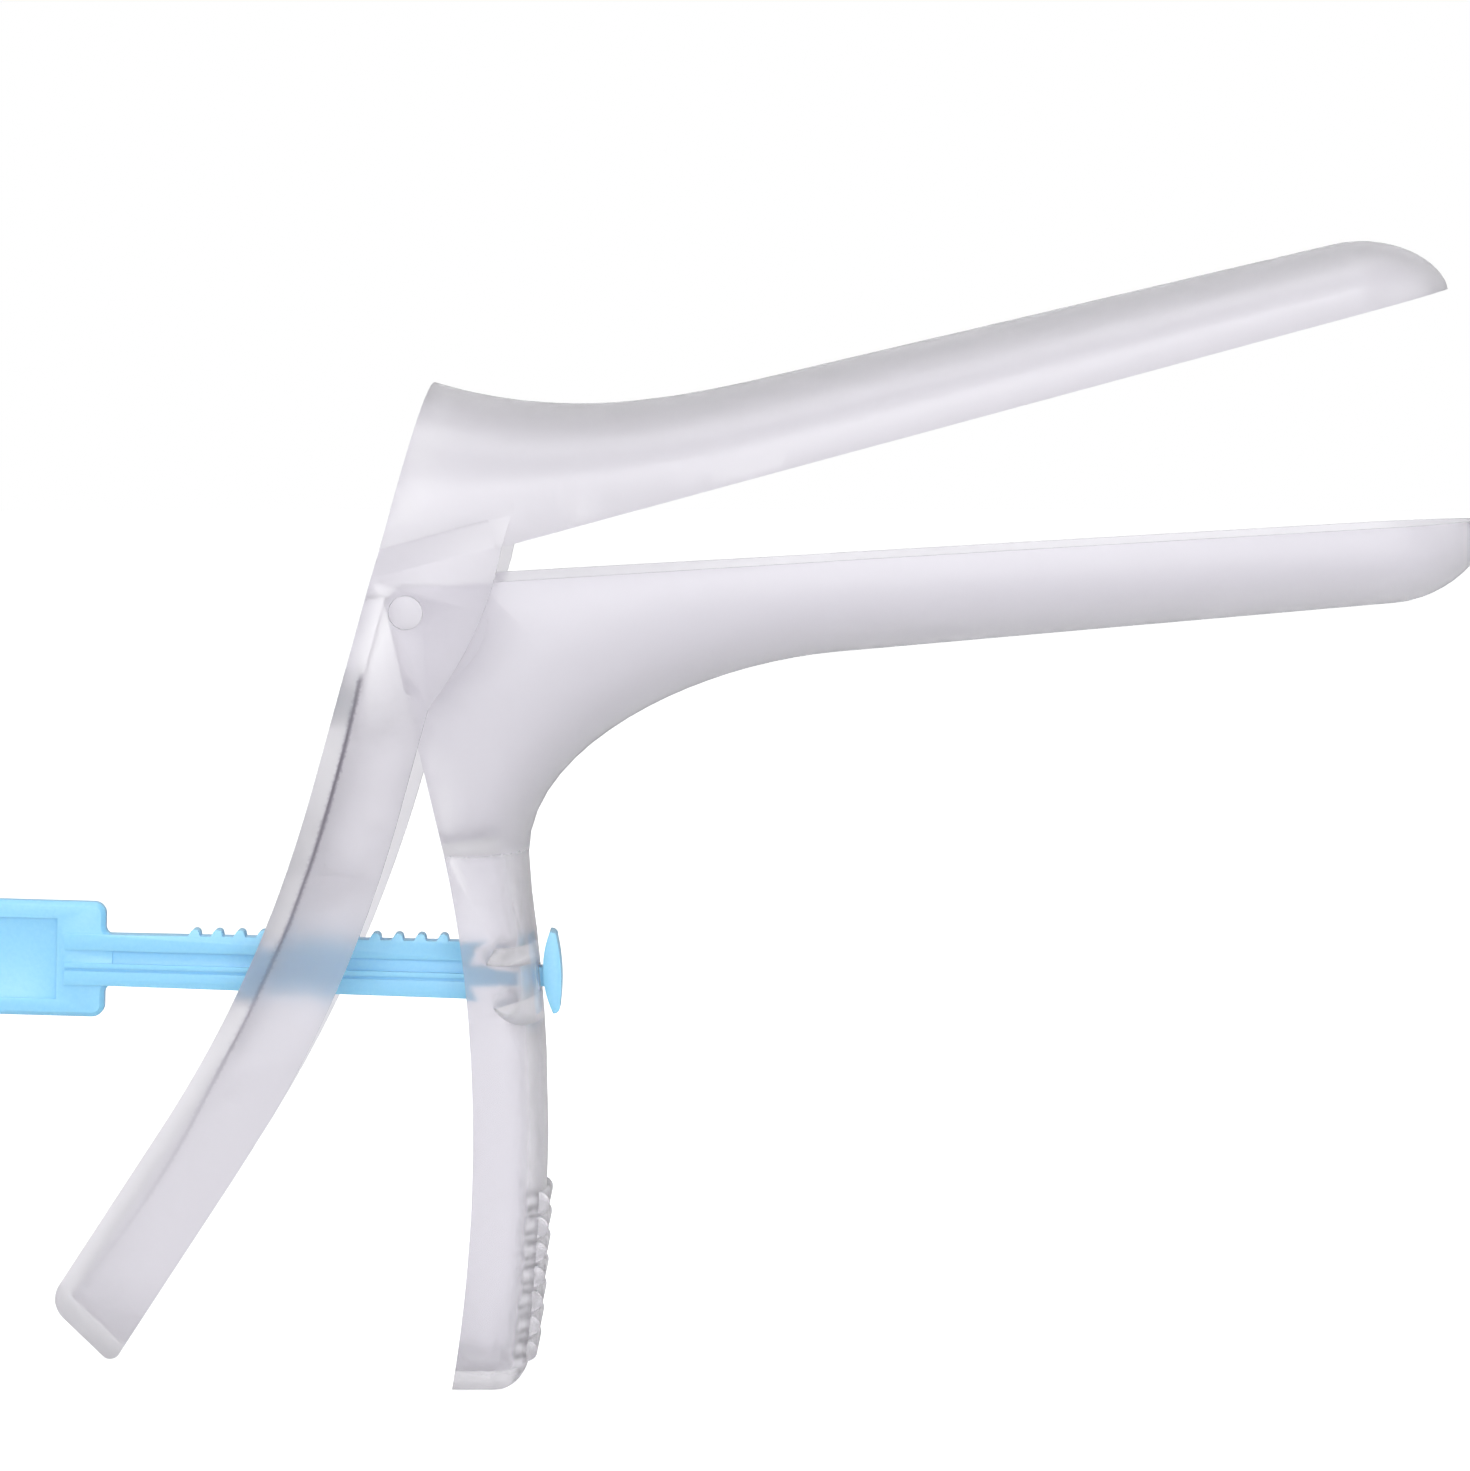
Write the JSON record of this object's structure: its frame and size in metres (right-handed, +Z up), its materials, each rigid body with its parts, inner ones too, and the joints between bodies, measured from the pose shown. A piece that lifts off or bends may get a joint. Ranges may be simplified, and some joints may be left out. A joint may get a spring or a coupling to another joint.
{
  "type": "bivalve speculum",
  "caption": "Clear moulded bivalve speculum with two hinged blades, handle and lever, held by a pale blue ratchet strap.",
  "frame": {"origin": "middle of the flat foot under the front handle, on the plane of symmetry", "axes": "+X forwards along the blades, +Y across them, +Z up"},
  "size_m": [0.1726, 0.0378, 0.1308],
  "materials": {
    "clear_plastic": "satin",
    "blue_plastic": "satin"
  },
  "bodies": {
    "lower": {"lower_valve": "clear_plastic"},
    "upper": {"upper_valve": "clear_plastic"},
    "strap": {"ratchet_strap": "blue_plastic"}
  },
  "joints": [
    {"name": "valve_hinge", "type": "hinge", "parent": "lower", "child": "upper", "pos_m": [-0.007, 0, 0.0892], "axis": [0, -1, 0], "range_deg": [-12, 23]},
    {"name": "strap_hinge", "type": "hinge", "parent": "lower", "child": "strap", "pos_m": [0.007, 0, 0.047], "axis": [0, -1, 0], "range_deg": [-6.3, 12.1]}
  ],
  "couplings": [
    {"joint": "strap_hinge", "follows": "valve_hinge", "ratio": 0.52}
  ]
}
